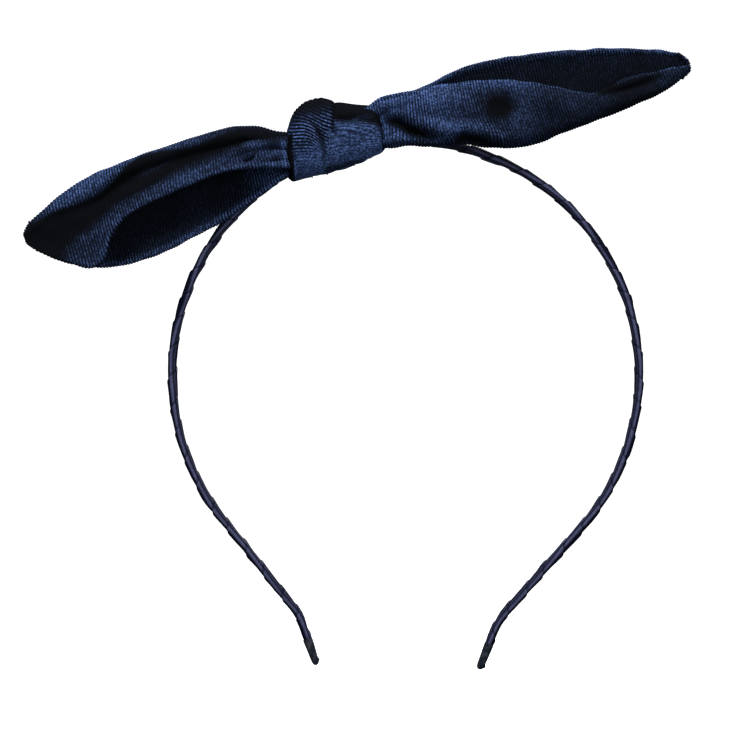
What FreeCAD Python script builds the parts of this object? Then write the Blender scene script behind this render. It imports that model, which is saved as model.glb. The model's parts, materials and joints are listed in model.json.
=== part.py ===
import FreeCAD, Part
import math
import os

# Knotted velvet headband, in millimetres, as it is worn.
# +Z is up, +X runs across the head and the wearer's face is towards -Y.
# The origin is the middle of the crown's inner face, where the band rests on the head.

Vector = FreeCAD.Vector
Y_AXIS = Vector(0, 1, 0)

# ---- Band -------------------------------------------------------------------------
BAND_RADIUS = 63.0        # centreline of the round stretch
RIBBON_THICK = 2.2        # satin-wrapped band, across the strip's thickness
RIBBON_WIDTH = 5.4        # satin-wrapped band, front to back
STEEL_THICK = 1.0         # spring-steel strip
STEEL_WIDTH = 4.4
STEEL_ROOM = 0.05         # gap between the steel and the satin, each side
FLEX_ANGLE = 50.0         # from the top to where each arm is taken to flex
ROUND_END = 130.4         # from the top to where the round stretch ends
LOWER_RUN = 30.0          # straight stretch below the round one
TIP_BEND = 20.0           # the tips turn outward by this much
TIP_BEND_RADIUS = 14.0
TIP_RUN = 12.0            # straight stretch at each tip
RIBBON_EDGE_ROUND = 0.7

# ---- Tip caps ---------------------------------------------------------------------
CAP_LENGTH = 7.5
CAP_THICK = 2.1
CAP_WIDTH = 5.4
CAP_ROUND = 0.9
CAP_FLOOR = 1.2           # solid end of the cap past the steel
TUCK_LENGTH = 3.5         # satin end tucked under the cap
TUCK_WALL = 0.2

# ---- Knot -------------------------------------------------------------------------
KNOT_ANGLE = 18.5         # the knot sits this far to the left of the top
KNOT_LOBE = (-14.0, -1.0, -3.2, 14.6, 9.0)     # along from, to; up from, to; half depth
KNOT_WRAP = (-0.7, 13.6, -3.2, 9.8, 9.5)
KNOT_CORE = (-9.5, 9.5, 1.9, 6.4, 5.0)
KNOT_ROUND = 3.4
CORE_ROUND = 1.2
CORE_ROOM = 0.2
CHANNEL_ROOM = 0.35       # between the satin and the velvet round it
CHANNEL_FROM = -60.0      # degrees, well past the knot on both sides
CHANNEL_TO = 30.0
CHANNEL_OVERLAP = 1.0     # the two parts of the channel run into each other
CHANNEL_DROP = 10.0       # the space under the band reaches past the knot
UNDERPASS_THICK = 3.0
UNDERPASS_HALF_DEPTH = 7.5
UNDERPASS_FROM = 9.5      # degrees to the left of the top
UNDERPASS_TO = 29.5
UNDERPASS_ROOM = 0.2
GLUE_FROM = 12.0
GLUE_TO = 26.0
GLUE_THICK = 0.3
GLUE_HALF_WIDTH = 2.3
TACK_ANGLES = (13.0, 16.0, 19.0, 22.0)
TACK_DIAMETER = 0.5
TACK_LENGTH = 4.0
TACK_START = 1.0          # the stitches lie in the rear half of the band
TACK_GAP = 0.05

# ---- Tails ------------------------------------------------------------------------
# Outlines are (distance from the knot, height above the tail's own axis).
NECK_PIVOT = 3.0          # the tail swings about this point of its axis
NECK_RADIUS = 6.4
NECK_ROOM = 0.4
SWEEP_STEPS = (-25.0, -12.5, 12.5, 25.0)     # degrees that a tail swings from rest
FRONT_LAYER = (-12.4, -8.4)
BACK_LAYER = (-7.8, -3.8)
STITCH_DIAMETER = 0.4
STITCH_LENGTH = 2.4
STITCH_PITCH = 3.2
STITCH_INSET = 1.6        # from the tail's lower edge

LEFT_TAIL = {
    "side": -1,
    "neck": (-33.8, -3.4),
    "rise": -19.85,
    "length": 73.8,
    "top": [(8, 9.3), (14, 11.2), (22, 11.8), (32, 11.6), (48, 11.1), (60, 9.0), (68, 6.3), (72.4, 3.2)],
    "crest": [(8, 9.0), (14, 10.7), (22, 11.3), (32, 11.1), (48, 10.6), (60, 8.5), (68, 5.8), (72.2, 2.8)],
    "bottom": [(8, -7.4), (20, -10.8), (32, -13.2), (41, -14.7), (49, -15.1), (57, -13.5), (65, -8.9),
               (71.5, -4.0)],
}
RIGHT_TAIL = {
    "side": 1,
    "neck": (-8.1, 4.3),
    "rise": 12.4,
    "length": 84.5,
    "top": [(9, 7.7), (16, 9.4), (25, 11.8), (35, 12.3), (50, 11.4), (65, 9.1), (77, 6.4), (83, 3.2)],
    "crest": [(9, 7.2), (20, 7.0), (31, 6.2), (40, 4.0), (48, 1.0), (57, -2.0), (66, -1.2), (80, 0.2)],
    "bottom": [(9, -7.0), (16, -9.0), (25, -10.8), (35, -12.5), (50, -10.8), (65, -8.2), (77, -5.0),
               (83, -1.8)],
}

# ---- Worked out from the above ----------------------------------------------------
INNER_RADIUS = BAND_RADIUS - RIBBON_THICK / 2
OUTER_RADIUS = BAND_RADIUS + RIBBON_THICK / 2
CENTRE_Z = -INNER_RADIUS


def on_circle(radius, degrees):
    """Point of the head circle's plane, measured clockwise from the top."""
    turn = math.radians(degrees)
    return Vector(radius * math.sin(turn), 0, CENTRE_Z + radius * math.cos(turn))


def prism(edges, half_width):
    """Solid with the given closed outline in the XZ plane, as deep as twice half_width."""
    face = Part.Face(Part.Wire(Part.__sortEdges__(edges)))
    face.translate(Vector(0, -half_width, 0))
    return face.extrude(Vector(0, 2 * half_width, 0))


def line(a, b):
    return Part.LineSegment(a, b).toShape()


def arc(a, middle, b):
    return Part.Arc(a, middle, b).toShape()


def round_run(from_deg, to_deg, inner, outer, half_width):
    """A stretch of a flat ring about the head circle's centre."""
    middle = (from_deg + to_deg) / 2
    ins = [on_circle(inner, angle) for angle in (from_deg, middle, to_deg)]
    outs = [on_circle(outer, angle) for angle in (from_deg, middle, to_deg)]
    return prism([arc(*ins), arc(*outs), line(ins[0], outs[0]), line(ins[2], outs[2])], half_width)


def arm_frame():
    """Points and directions of the right arm's centreline, from the round stretch to the tip."""
    turn = math.radians(ROUND_END)
    bend = math.radians(TIP_BEND)
    along = Vector(math.cos(turn), 0, -math.sin(turn))
    outward = Vector(math.sin(turn), 0, math.cos(turn))
    start = on_circle(BAND_RADIUS, ROUND_END)
    bend_start = start + along * LOWER_RUN
    bend_centre = bend_start + outward * TIP_BEND_RADIUS
    half_outward = outward * math.cos(bend / 2) - along * math.sin(bend / 2)
    tip_outward = outward * math.cos(bend) - along * math.sin(bend)
    tip_along = along * math.cos(bend) + outward * math.sin(bend)
    tip_start = bend_centre - tip_outward * TIP_BEND_RADIUS
    return {
        "outward": outward,
        "bend_start": bend_start,
        "bend_centre": bend_centre,
        "half_outward": half_outward,
        "tip_outward": tip_outward,
        "tip_along": tip_along,
        "tip_start": tip_start,
    }


def arm_side(offset, tip_length):
    """Edges of one face of the right arm, offset outward from its centreline, and its two ends."""
    frame = arm_frame()
    first = on_circle(BAND_RADIUS + offset, FLEX_ANGLE)
    middle = on_circle(BAND_RADIUS + offset, (FLEX_ANGLE + ROUND_END) / 2)
    round_end = on_circle(BAND_RADIUS + offset, ROUND_END)
    bend_start = frame["bend_start"] + frame["outward"] * offset
    bend_middle = frame["bend_centre"] - frame["half_outward"] * (TIP_BEND_RADIUS - offset)
    tip_start = frame["tip_start"] + frame["tip_outward"] * offset
    tip_end = tip_start + frame["tip_along"] * tip_length
    edges = [
        arc(first, middle, round_end),
        line(round_end, bend_start),
        arc(bend_start, bend_middle, tip_start),
        line(tip_start, tip_end),
    ]
    return edges, first, tip_end


def arm_run(thickness, width, tip_length):
    """The right arm as a solid strip."""
    inner_edges, inner_first, inner_last = arm_side(-thickness / 2, tip_length)
    outer_edges, outer_first, outer_last = arm_side(thickness / 2, tip_length)
    ends = [line(inner_first, outer_first), line(inner_last, outer_last)]
    return prism(inner_edges + outer_edges + ends, width / 2)


def tip_block(from_length, to_length, thickness, width):
    """A block in line with the right tip, measured along it from the bend."""
    frame = arm_frame()
    along = frame["tip_along"]
    across = frame["tip_outward"] * (thickness / 2)
    start = frame["tip_start"] + along * from_length
    end = frame["tip_start"] + along * to_length
    corners = [start - across, start + across, end + across, end - across]
    edges = [line(corners[i], corners[(i + 1) % 4]) for i in range(4)]
    return prism(edges, width / 2)


def rounded_long_edges(strip, width, radius):
    """Round the edges that run along a strip, leaving its cut ends square."""
    long_edges = []
    for edge in strip.Edges:
        ends = [vertex.Point.y for vertex in edge.Vertexes]
        on_side = all(abs(abs(y) - width / 2) < 0.01 for y in ends)
        if on_side and edge.Length > 1.5 * RIBBON_THICK:
            long_edges.append(edge)
    return strip.makeFillet(radius, long_edges)


def mirrored(shape):
    return shape.mirror(Vector(0, 0, 0), Vector(1, 0, 0))


# ---- Band pieces ------------------------------------------------------------------
def steel_room():
    return STEEL_THICK + 2 * STEEL_ROOM, STEEL_WIDTH + 2 * STEEL_ROOM


def steel_crown():
    inner = BAND_RADIUS - STEEL_THICK / 2
    return round_run(-FLEX_ANGLE, FLEX_ANGLE, inner, inner + STEEL_THICK, STEEL_WIDTH / 2)


def ribbon_crown():
    room_thick, room_width = steel_room()
    sleeve = round_run(-FLEX_ANGLE, FLEX_ANGLE, INNER_RADIUS, OUTER_RADIUS, RIBBON_WIDTH / 2)
    sleeve = rounded_long_edges(sleeve, RIBBON_WIDTH, RIBBON_EDGE_ROUND)
    inner = BAND_RADIUS - room_thick / 2
    hollow = round_run(-FLEX_ANGLE, FLEX_ANGLE, inner, inner + room_thick, room_width / 2)
    return sleeve.cut(hollow)


def steel_arm():
    return arm_run(STEEL_THICK, STEEL_WIDTH, TIP_RUN - CAP_FLOOR)


def ribbon_arm():
    room_thick, room_width = steel_room()
    length = TIP_RUN - CAP_LENGTH
    sleeve = arm_run(RIBBON_THICK, RIBBON_WIDTH, length)
    sleeve = rounded_long_edges(sleeve, RIBBON_WIDTH, RIBBON_EDGE_ROUND)
    return sleeve.cut(arm_run(room_thick, room_width, length))


def tuck_size():
    room_thick, room_width = steel_room()
    return room_thick + 2 * TUCK_WALL, room_width + 2 * TUCK_WALL


def ribbon_tuck():
    """The satin's last turn, folded in under the cap."""
    room_thick, room_width = steel_room()
    tuck_thick, tuck_width = tuck_size()
    start = TIP_RUN - CAP_LENGTH
    end = start + TUCK_LENGTH
    sleeve = tip_block(start, end, tuck_thick, tuck_width)
    return sleeve.cut(tip_block(start, end, room_thick, room_width))


def tip_cap():
    room_thick, room_width = steel_room()
    tuck_thick, tuck_width = tuck_size()
    start = TIP_RUN - CAP_LENGTH
    cap = tip_block(start, TIP_RUN, CAP_THICK, CAP_WIDTH)
    cap = cap.makeFillet(CAP_ROUND, cap.Edges)
    tuck_room = tip_block(start - 1, start + TUCK_LENGTH, tuck_thick, tuck_width)
    room = tip_block(start - 1, TIP_RUN - CAP_FLOOR, room_thick, room_width)
    return cap.cut(tuck_room).cut(room)


# ---- Knot pieces ------------------------------------------------------------------
def knot_block(size, radius, room=0.0):
    """A block with rounded edges, square to the band where the knot sits."""
    along_from, along_to, up_from, up_to, half_depth = size
    corner = Vector(along_from - room, -half_depth - room, up_from - room)
    length = along_to - along_from + 2 * room
    depth = 2 * (half_depth + room)
    height = up_to - up_from + 2 * room
    block = Part.makeBox(length, depth, height, corner)
    block = block.makeFillet(radius, block.Edges)
    block.Placement = FreeCAD.Placement(
        on_circle(BAND_RADIUS, -KNOT_ANGLE), FreeCAD.Rotation(Y_AXIS, -KNOT_ANGLE)
    )
    return block


def band_channel():
    """The space that the band and the strip under it take up inside the knot."""
    inner = INNER_RADIUS - UNDERPASS_THICK - 2 * UNDERPASS_ROOM
    channel_inner = INNER_RADIUS - CHANNEL_OVERLAP
    channel_outer = OUTER_RADIUS + CHANNEL_ROOM
    half_width = RIBBON_WIDTH / 2 + CHANNEL_ROOM
    channel = round_run(CHANNEL_FROM, CHANNEL_TO, channel_inner, channel_outer, half_width)
    under = round_run(CHANNEL_FROM, CHANNEL_TO, inner - CHANNEL_DROP, INNER_RADIUS,
                      UNDERPASS_HALF_DEPTH + UNDERPASS_ROOM)
    return channel.fuse(under)


def neck_socket(tail):
    """The round space in the knot's side that a tail's neck turns in."""
    centre = tail_point(tail, NECK_PIVOT, 0)
    low = FRONT_LAYER[0] - 1
    base = Vector(centre.x, low, centre.z)
    return Part.makeCylinder(NECK_RADIUS + NECK_ROOM, BACK_LAYER[1] + NECK_ROOM - low, base, Y_AXIS)


def knot_shell(size, tail):
    core_room = knot_block(KNOT_CORE, CORE_ROUND, CORE_ROOM)
    shell = knot_block(size, KNOT_ROUND).cut(core_room)
    return shell.cut(band_channel()).cut(neck_socket(tail)).cut(tail_sweep_room(tail))


def tail_sweep_room(tail):
    """Room beside the neck for the tail's shoulders as it swings."""
    outline = tail_outline(tail, "top", NECK_ROOM)
    low, high = FRONT_LAYER[0] - 1, BACK_LAYER[1] + NECK_ROOM
    outline.translate(Vector(0, low, 0))
    leaf = outline.extrude(Vector(0, high - low, 0))
    centre = tail_point(tail, NECK_PIVOT, 0)
    room = leaf
    for step in SWEEP_STEPS:
        turned = leaf.copy()
        turned.rotate(centre, Y_AXIS, step)
        room = room.fuse(turned)
    return room


def knot_core():
    """The strip's first turn, hidden inside the knot on top of the band."""
    return knot_block(KNOT_CORE, CORE_ROUND)


def knot_underpass():
    """The strip where it passes under the band, against the hair."""
    outer = INNER_RADIUS - UNDERPASS_ROOM
    return round_run(-UNDERPASS_TO, -UNDERPASS_FROM, outer - UNDERPASS_THICK, outer, UNDERPASS_HALF_DEPTH)


def knot_glue_pad():
    """Film of hot glue that holds the knot on top of the satin."""
    return round_run(-GLUE_TO, -GLUE_FROM, OUTER_RADIUS, OUTER_RADIUS + GLUE_THICK, GLUE_HALF_WIDTH)


def knot_tack_stitches():
    """Hand stitches that close the strip under the band."""
    radius = INNER_RADIUS - UNDERPASS_ROOM - UNDERPASS_THICK - TACK_GAP - TACK_DIAMETER / 2
    stitches = []
    for angle in TACK_ANGLES:
        base = on_circle(radius, -angle) + Vector(0, TACK_START, 0)
        stitches.append(Part.makeCylinder(TACK_DIAMETER / 2, TACK_LENGTH, base, Y_AXIS))
    return Part.makeCompound(stitches)


# ---- Tail pieces ------------------------------------------------------------------
def tail_point(tail, out, up):
    """Point of the XZ plane at a distance out along the tail's axis and up from it."""
    side = tail["side"]
    rise = math.radians(tail["rise"])
    neck_x, neck_z = tail["neck"]
    x = neck_x + side * (out * math.cos(rise) - up * math.sin(rise))
    z = neck_z + out * math.sin(rise) + up * math.cos(rise)
    return Vector(x, 0, z)


def smooth_edge(points):
    curve = Part.BSplineCurve()
    curve.interpolate(points)
    return curve.toShape()


def tail_outline(tail, upper, grow=0.0):
    """Leaf-shaped face: a round neck, two long curved edges and a rounded end."""
    radius = NECK_RADIUS + grow
    neck_top = tail_point(tail, NECK_PIVOT, radius)
    neck_back = tail_point(tail, NECK_PIVOT - radius, 0)
    neck_bottom = tail_point(tail, NECK_PIVOT, -radius)
    tip = tail_point(tail, tail["length"] + grow, 0)
    top = [tail_point(tail, out, up + grow) for out, up in tail[upper]]
    bottom = [tail_point(tail, out, up - grow) for out, up in tail["bottom"]]
    edges = [
        arc(neck_top, neck_back, neck_bottom),
        smooth_edge([neck_top] + top + [tip]),
        smooth_edge([neck_bottom] + bottom + [tip]),
    ]
    return Part.Face(Part.Wire(Part.__sortEdges__(edges)))


def tail_leaf(tail, upper, layer):
    face = tail_outline(tail, upper)
    face.translate(Vector(0, layer[0], 0))
    return face.extrude(Vector(0, layer[1] - layer[0], 0))


def tail_seam(tail):
    """Machine stitches of the seam between the two layers, along the lower edge."""
    middle = (FRONT_LAYER[1] + BACK_LAYER[0]) / 2
    stitches = []
    for (out_a, up_a), (out_b, up_b) in zip(tail["bottom"], tail["bottom"][1:]):
        run = math.hypot(out_b - out_a, up_b - up_a)
        count = max(1, int(run / STITCH_PITCH))
        for i in range(count):
            share = (i + 0.5) / count
            out = out_a + (out_b - out_a) * share
            up = up_a + (up_b - up_a) * share + STITCH_INSET
            ahead = tail_point(tail, out_b, up_b) - tail_point(tail, out_a, up_a)
            ahead.normalize()
            base = tail_point(tail, out, up) - ahead * (STITCH_LENGTH / 2)
            base.y = middle
            stitches.append(Part.makeCylinder(STITCH_DIAMETER / 2, STITCH_LENGTH, base, ahead))
    return Part.makeCompound(stitches)


def build():
    nodes = {
        "steel_crown": steel_crown(),
        "ribbon_crown": ribbon_crown(),
        "knot_core": knot_core(),
        "knot_lobe": knot_shell(KNOT_LOBE, LEFT_TAIL),
        "knot_wrap": knot_shell(KNOT_WRAP, RIGHT_TAIL),
        "knot_underpass": knot_underpass(),
        "knot_glue_pad": knot_glue_pad(),
        "knot_tack_stitches": knot_tack_stitches(),
    }
    arm_pieces = {
        "steel_arm": steel_arm(),
        "ribbon_arm": ribbon_arm(),
        "ribbon_tuck": ribbon_tuck(),
        "tip_cap": tip_cap(),
    }
    for name, shape in arm_pieces.items():
        nodes[name + "_right"] = shape
        nodes[name + "_left"] = mirrored(shape)
    for side, tail in (("left", LEFT_TAIL), ("right", RIGHT_TAIL)):
        nodes[side + "_tail_front"] = tail_leaf(tail, "crest", FRONT_LAYER)
        nodes[side + "_tail_back"] = tail_leaf(tail, "top", BACK_LAYER)
        nodes[side + "_tail_seam"] = tail_seam(tail)
    return nodes


os.makedirs("parts", exist_ok=True)
for node, shape in build().items():
    shape.exportStep("parts/" + node + ".step")
    print(node, len(shape.Solids), round(shape.Volume, 2), shape.isValid())
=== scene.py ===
import json
import math

import bmesh
import bpy
import numpy as np
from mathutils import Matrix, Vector
from mathutils.bvhtree import BVHTree


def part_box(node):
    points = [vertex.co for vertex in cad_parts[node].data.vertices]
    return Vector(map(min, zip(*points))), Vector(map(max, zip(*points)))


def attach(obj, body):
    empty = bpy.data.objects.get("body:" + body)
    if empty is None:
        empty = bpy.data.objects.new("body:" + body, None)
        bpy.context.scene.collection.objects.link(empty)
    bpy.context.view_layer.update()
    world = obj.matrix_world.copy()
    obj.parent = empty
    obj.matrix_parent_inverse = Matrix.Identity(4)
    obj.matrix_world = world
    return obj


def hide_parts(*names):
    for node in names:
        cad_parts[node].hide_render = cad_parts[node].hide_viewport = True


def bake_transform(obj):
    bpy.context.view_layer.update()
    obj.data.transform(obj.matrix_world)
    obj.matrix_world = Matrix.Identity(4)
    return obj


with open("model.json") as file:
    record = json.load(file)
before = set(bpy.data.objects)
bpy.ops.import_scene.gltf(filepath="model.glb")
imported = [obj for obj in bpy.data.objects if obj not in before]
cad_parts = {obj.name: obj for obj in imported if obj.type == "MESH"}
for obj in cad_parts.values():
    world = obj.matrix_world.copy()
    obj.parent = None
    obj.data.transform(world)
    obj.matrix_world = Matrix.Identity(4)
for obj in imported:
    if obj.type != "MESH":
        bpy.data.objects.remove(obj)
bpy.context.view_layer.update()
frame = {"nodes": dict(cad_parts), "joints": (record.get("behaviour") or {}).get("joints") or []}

bl_info = {
    "name": "Knotted velvet headband",
    "version": (1, 0, 0),
    "blender": (4, 5, 0),
    "location": "3D View > Sidebar > Headband",
    "description": "Satin-wound band, velvet knot and folded velvet tails, built round the packed frame",
    "category": "Add Mesh",
}

MM = 0.001


def joint_point(name):
    """Where a joint's axis lies, in millimetres."""
    for joint in frame["joints"]:
        if joint["name"] == name:
            return np.array(joint["pos_m"], float) / MM
    raise ValueError("the frame has no joint " + name)


# ---- Band dimensions, in millimetres, read from the frame where it holds them --------
FLEX_POINT = joint_point("right_arm_flex")
BAND_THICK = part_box("ribbon_crown")[1][2] / MM
BAND_WIDTH = 2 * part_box("ribbon_crown")[1][1] / MM
FLEX_DROP = BAND_THICK - FLEX_POINT[2]
OUTER_RADIUS = (FLEX_POINT[0] ** 2 / FLEX_DROP + FLEX_DROP) / 2
INNER_RADIUS = OUTER_RADIUS - BAND_THICK
BAND_RADIUS = OUTER_RADIUS - BAND_THICK / 2
FLEX_ANGLE = math.asin(FLEX_POINT[0] / OUTER_RADIUS)
ROUND_END = math.radians(130.4)
LOWER_RUN = 30.0
TIP_BEND = math.radians(20.0)
TIP_BEND_RADIUS = 14.0
TIP_RUN = 12.0
CAP_LENGTH = 7.5
CAP_THICK = 2.28
CAP_WIDTH = 2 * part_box("tip_cap_right")[1][1] / MM
KNOT_ANGLE = math.radians(18.5)
FLEX_SPREAD = math.radians(19.0)      # angle each side of the arm's joint where flex_between works out band points

ARC_LENGTH = BAND_RADIUS * ROUND_END
BEND_LENGTH = TIP_BEND_RADIUS * TIP_BEND
BAND_END = ARC_LENGTH + LOWER_RUN + BEND_LENGTH + TIP_RUN


# ---- Small maths ----------------------------------------------------------------------
def squarish(wave, roundness):
    """A sine or cosine flattened towards a rounded rectangle."""
    return np.sign(wave) * np.abs(wave) ** roundness


def ease(low, high, value):
    """0 below low, 1 above high, and a smooth step between them."""
    share = np.clip((np.asarray(value, float) - low) / (high - low), 0, 1)
    return share * share * (3 - 2 * share)


def follow(points, at):
    """Smooth curve through (place, value) points, read at any places."""
    xs = np.array([p[0] for p in points], float)
    ys = np.array([p[1] for p in points], float)
    slopes = np.gradient(ys, xs)
    at = np.clip(np.asarray(at, float), xs[0], xs[-1])
    i = np.clip(np.searchsorted(xs, at) - 1, 0, len(xs) - 2)
    step = xs[i + 1] - xs[i]
    t = (at - xs[i]) / step
    rise = (2 * t**3 - 3 * t**2 + 1) * ys[i] + (3 * t**2 - 2 * t**3) * ys[i + 1]
    lean = (t**3 - 2 * t**2 + t) * slopes[i] + (t**3 - t**2) * slopes[i + 1]
    return rise + step * lean


def through(controls, at):
    """Catmull-Rom curve through a list of equally spaced control arrays, read at 0..1."""
    count = len(controls)
    padded = [2 * controls[0] - controls[1]] + list(controls) + [2 * controls[-1] - controls[-2]]
    stack = np.stack(padded)
    place = np.clip(np.asarray(at, float), 0, 1) * (count - 1)
    i = np.minimum(place.astype(int), count - 2)
    t = (place - i).reshape((-1,) + (1,) * (stack.ndim - 1))
    a, b, c, d = stack[i], stack[i + 1], stack[i + 2], stack[i + 3]
    return 0.5 * (2 * b + (c - a) * t + (2 * a - 5 * b + 4 * c - d) * t**2 + (3 * b - 3 * c + d - a) * t**3)


def ripple(points, size, seed, waves=14):
    """Soft random relief between about -1 and 1, whose bumps are about size across."""
    rng = np.random.default_rng(seed)
    total = np.zeros(points.shape[:-1])
    for _ in range(waves):
        heading = rng.normal(size=3)
        heading *= 2 * math.pi / (size * rng.uniform(1.6, 3.4)) / np.linalg.norm(heading)
        total += np.sin(points @ heading + rng.uniform(0, 2 * math.pi))
    return total / math.sqrt(waves / 2)


def unit(vectors):
    return vectors / np.maximum(np.linalg.norm(vectors, axis=-1, keepdims=True), 1e-9)


def loop_normals(grid):
    """Outward directions of a surface of closed loops, rows along it and columns round it."""
    along = np.gradient(grid, axis=0)
    around = np.roll(grid, -1, axis=1) - np.roll(grid, 1, axis=1)
    return unit(np.cross(around, along))


def cord_profile(distance, pitch):
    """Height of the velvet's cords, 0 in the grooves and 1 on the tops."""
    wave = 0.5 + 0.5 * np.cos(2 * math.pi * distance / pitch)
    return wave**0.65


# ---- Making pieces -----------------------------------------------------------------------
def make_piece(name, points, faces, material, marks=None):
    """A mesh piece from points in millimetres, with numbers kept on its points as marks."""
    mesh = bpy.data.meshes.new(name)
    mesh.from_pydata((np.asarray(points) * MM).tolist(), [], faces)
    mesh.polygons.foreach_set("use_smooth", [True] * len(mesh.polygons))
    for mark, values in (marks or {}).items():
        layer = mesh.attributes.new(mark, "FLOAT", "POINT")
        layer.data.foreach_set("value", np.asarray(values, np.float32).ravel())
    mesh.materials.append(material)
    mesh.update()
    piece = bpy.data.objects.new(name, mesh)
    bpy.context.scene.collection.objects.link(piece)
    return piece


def loop_faces(rows, columns):
    """Quads of a grid of closed loops, with a fan over each end.

    The fans' centre points are the two that follow the grid's own.
    """
    faces = []
    for i in range(rows - 1):
        for j in range(columns):
            k = (j + 1) % columns
            faces.append((i * columns + j, i * columns + k, (i + 1) * columns + k, (i + 1) * columns + j))
    first, last = rows * columns, rows * columns + 1
    end = (rows - 1) * columns
    for j in range(columns):
        k = (j + 1) % columns
        faces.append((first, k, j))
        faces.append((last, end + j, end + k))
    return faces


def loop_piece(name, grid, material, marks=None):
    """A closed piece from a grid of loops."""
    rows, columns = grid.shape[:2]
    ends = np.stack([grid[0].mean(axis=0), grid[-1].mean(axis=0)])
    points = np.concatenate([grid.reshape(-1, 3), ends])
    kept = {}
    for mark, values in (marks or {}).items():
        values = np.broadcast_to(values, (rows, columns))
        kept[mark] = np.concatenate([values.ravel(), [values[0].mean(), values[-1].mean()]])
    return make_piece(name, points, loop_faces(rows, columns), material, kept)


# ---- Band ------------------------------------------------------------------------------
def band_place(distance):
    """Centreline point, heading and outward direction at a distance from the top of the crown.

    Distances run down the right arm. All are rows of x, y and z.
    """
    distance = np.asarray(distance, float)
    turn = np.minimum(distance, ARC_LENGTH) / BAND_RADIUS
    zero = np.zeros_like(turn)
    heading = np.stack([np.cos(turn), zero, -np.sin(turn)], -1)
    outward = np.stack([np.sin(turn), zero, np.cos(turn)], -1)
    point = outward * BAND_RADIUS - np.array([0, 0, INNER_RADIUS])
    run = np.clip(distance - ARC_LENGTH, 0, LOWER_RUN)
    point = point + heading * run[..., None]
    bend = np.clip(distance - ARC_LENGTH - LOWER_RUN, 0, BEND_LENGTH) / TIP_BEND_RADIUS
    centre = point + outward * TIP_BEND_RADIUS
    bent_outward = outward * np.cos(bend)[..., None] - heading * np.sin(bend)[..., None]
    bent_heading = heading * np.cos(bend)[..., None] + outward * np.sin(bend)[..., None]
    bent = bend > 0
    point = np.where(bent[..., None], centre - bent_outward * TIP_BEND_RADIUS, point)
    tip = np.clip(distance - ARC_LENGTH - LOWER_RUN - BEND_LENGTH, 0, None)
    point = point + bent_heading * tip[..., None]
    return point, bent_heading, bent_outward


def on_band(distance, outward_by, depth):
    """Points at a distance along the right arm, out from its centreline and back in depth."""
    point, _, outward = band_place(distance)
    placed = point + outward * np.asarray(outward_by)[..., None]
    placed[..., 1] += depth
    return placed


def mirrored(points, side):
    points = np.array(points)
    points[..., 0] *= side
    return points


def turned_faces(faces, side):
    return faces if side > 0 else [tuple(reversed(face)) for face in faces]


# Laps of the satin that stand off the band: (from, to, height, inner or outer side).
LOOSE_LAPS = {
    -1: [(94.0, 106.4, 0.32, -1), (52.0, 60.0, 0.20, 1), (131.0, 139.0, 0.22, 1)],
    1: [(15.0, 24.5, 0.32, -1), (70.0, 78.0, 0.22, 1), (112.0, 120.0, 0.26, 1), (150.0, 158.0, 0.22, -1)],
}


def loose_laps(side, place, across):
    """How far the looser laps of the satin stand off, along the band and round it."""
    stand = np.zeros(np.broadcast(place, across).shape)
    for first, last, height, facing in LOOSE_LAPS[side]:
        run = ease(first, last - 1.0, place) * (1 - ease(last - 0.3, last + 0.4, place))
        stand = stand + height * run * ease(0.1, 0.8, facing * across)
    return stand


def wound_ribbon(side, material, sizes):
    """One side's satin: a ribbon wound round the steel, each turn lapping over the last."""
    pitch = sizes.ribbon_pitch / MM
    lap = sizes.ribbon_lap / MM
    start = -side * BAND_RADIUS * KNOT_ANGLE
    end = BAND_END - CAP_LENGTH + 0.6
    around = 44
    across = (0.0, 0.035, 0.1, 0.2, 0.34, 0.5, 0.66, 0.8, 0.91, 0.975, 1.0)
    turns = int((end - start) / pitch) + 3
    angle = np.arange(turns * around + 1) * 2 * math.pi / around
    share = np.array(across)
    place = start + pitch * (angle[:, None] / (2 * math.pi) - 1 + share[None, :])
    place = place + 0.42 * np.sin(place / 4.9 + side) + 0.30 * np.sin(place / 2.3 + 2 * side)
    edge = np.clip(place, start, end)
    fade = ease(0, 1.2, edge - start) * ease(0, 1.2, end - edge)
    rise = lap * ((1 - share) ** 1.3 + 0.10 * np.exp(-(((share - 0.04) / 0.05) ** 2)))
    cos = np.broadcast_to(np.cos(angle)[:, None], edge.shape)
    sin = np.broadcast_to(np.sin(angle)[:, None], edge.shape)
    spots = np.stack([edge, cos, sin], -1) * np.array([1.0, 2.2, 2.2])
    puff = fade * (rise[None, :] + 0.045 * ripple(spots, 2.6, 11 + side) + loose_laps(side, edge, cos))
    half_thick = BAND_THICK / 2 - 0.1 * lap
    half_width = BAND_WIDTH / 2 - lap
    roundness = 2 / 2.6
    out = squarish(cos, roundness) * (half_thick + puff)
    depth = squarish(sin, roundness) * (half_width + puff)
    grid = on_band(edge, out, depth)
    rows, columns = grid.shape[:2]
    faces = []
    for i in range(rows - 1):
        for j in range(columns - 1):
            here, after = i * columns + j, (i + 1) * columns + j
            faces.append((here, here + 1, after + 1, after))
    for i in range(rows - 1 - around):
        a, b = i * columns + columns - 1, (i + around) * columns
        faces.append((a, b, b + columns, a + columns))
    # The mark made here is a painted highlight: a light line wandering along the band's front and back faces,
    # a second towards its inner side, and light over its outer and inner edges.
    wander = 0.16 * ripple(np.stack([edge, 0 * edge, 0 * edge], -1), 9.0, 21 + side)
    wear_and_painted_sheen = np.exp(-(((cos - wander) / 0.26) ** 2)) + 0.60 * np.exp(-(((cos + 0.66 - wander) / 0.14) ** 2))
    wear_and_painted_sheen = wear_and_painted_sheen + 0.45 * ease(0.80, 0.97, np.abs(cos))
    marks = {"turn": np.broadcast_to(share, (rows, columns)), "wear_and_painted_sheen": np.clip(wear_and_painted_sheen, 0, 1)}
    points = mirrored(grid.reshape(-1, 3), side)
    name = "satin_ribbon_" + SIDE_NAMES[side]
    piece = make_piece(name, points, turned_faces(faces, side), material, marks)
    close_ends(piece)
    return piece


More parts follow.
